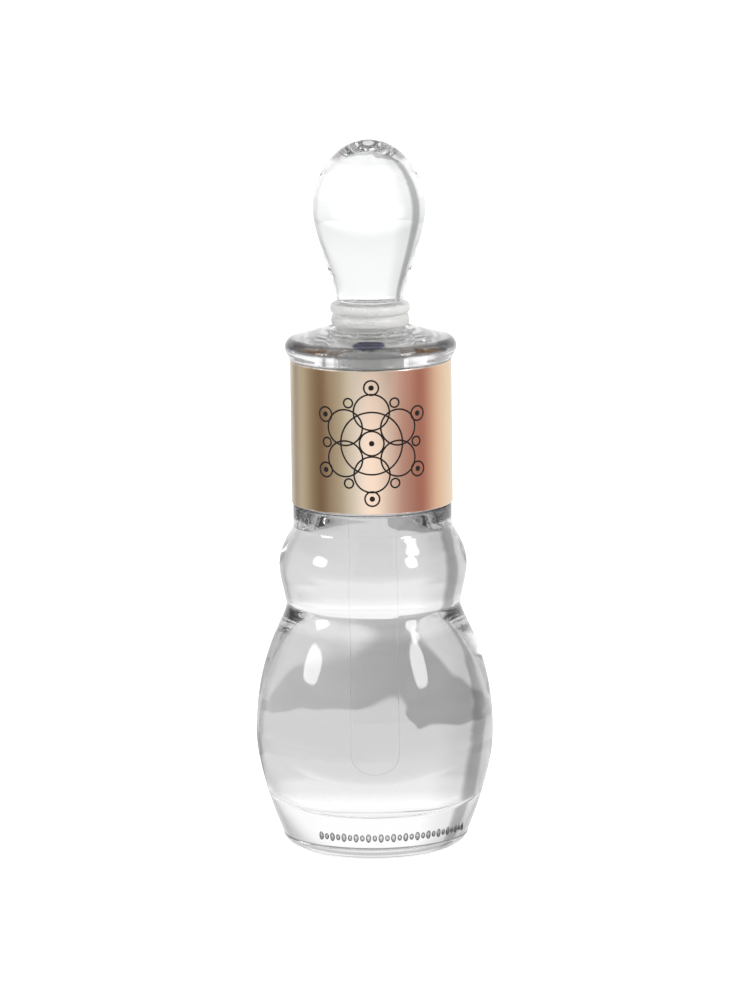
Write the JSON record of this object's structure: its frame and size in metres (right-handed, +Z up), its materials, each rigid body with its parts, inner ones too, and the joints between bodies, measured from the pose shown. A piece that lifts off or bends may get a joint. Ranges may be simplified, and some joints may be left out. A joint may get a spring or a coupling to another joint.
{
  "type": "perfume oil bottle",
  "caption": "Small clear glass perfume oil bottle with a metal band round its neck and a lift-out glass stopper that carries a dabber rod.",
  "frame": {"origin": "middle of the base, on the surface that the bottle stands on", "axes": "+Z up along the bottle's turning axis, -Y toward the front, +X to the viewer's right"},
  "size_m": [0.0312, 0.0312, 0.0935],
  "materials": {
    "bottle_glass": "clear, fire-polished",
    "band_metal": "bright rose-gold anodised strip",
    "plug_plastic": "translucent natural plastic",
    "stopper_glass": "clear, polished",
    "rod_glass": "clear, fire-polished tip"
  },
  "bodies": {
    "bottle": {"glass_bottle": "bottle_glass", "neck_band": "band_metal"},
    "plug": {"stopper_seal": "plug_plastic", "dabber_rod": "rod_glass"},
    "stopper": {"glass_stopper": "stopper_glass"}
  },
  "joints": [
    {"name": "stopper_lift", "type": "slide", "parent": "bottle", "child": "plug", "axis": [0, 0, 1], "range_m": [0, 0.06]},
    {"name": "stopper_twist", "type": "hinge", "parent": "plug", "child": "stopper", "pos_m": [0, 0, 0.0721], "axis": [0, 0, 1], "continuous": true}
  ]
}
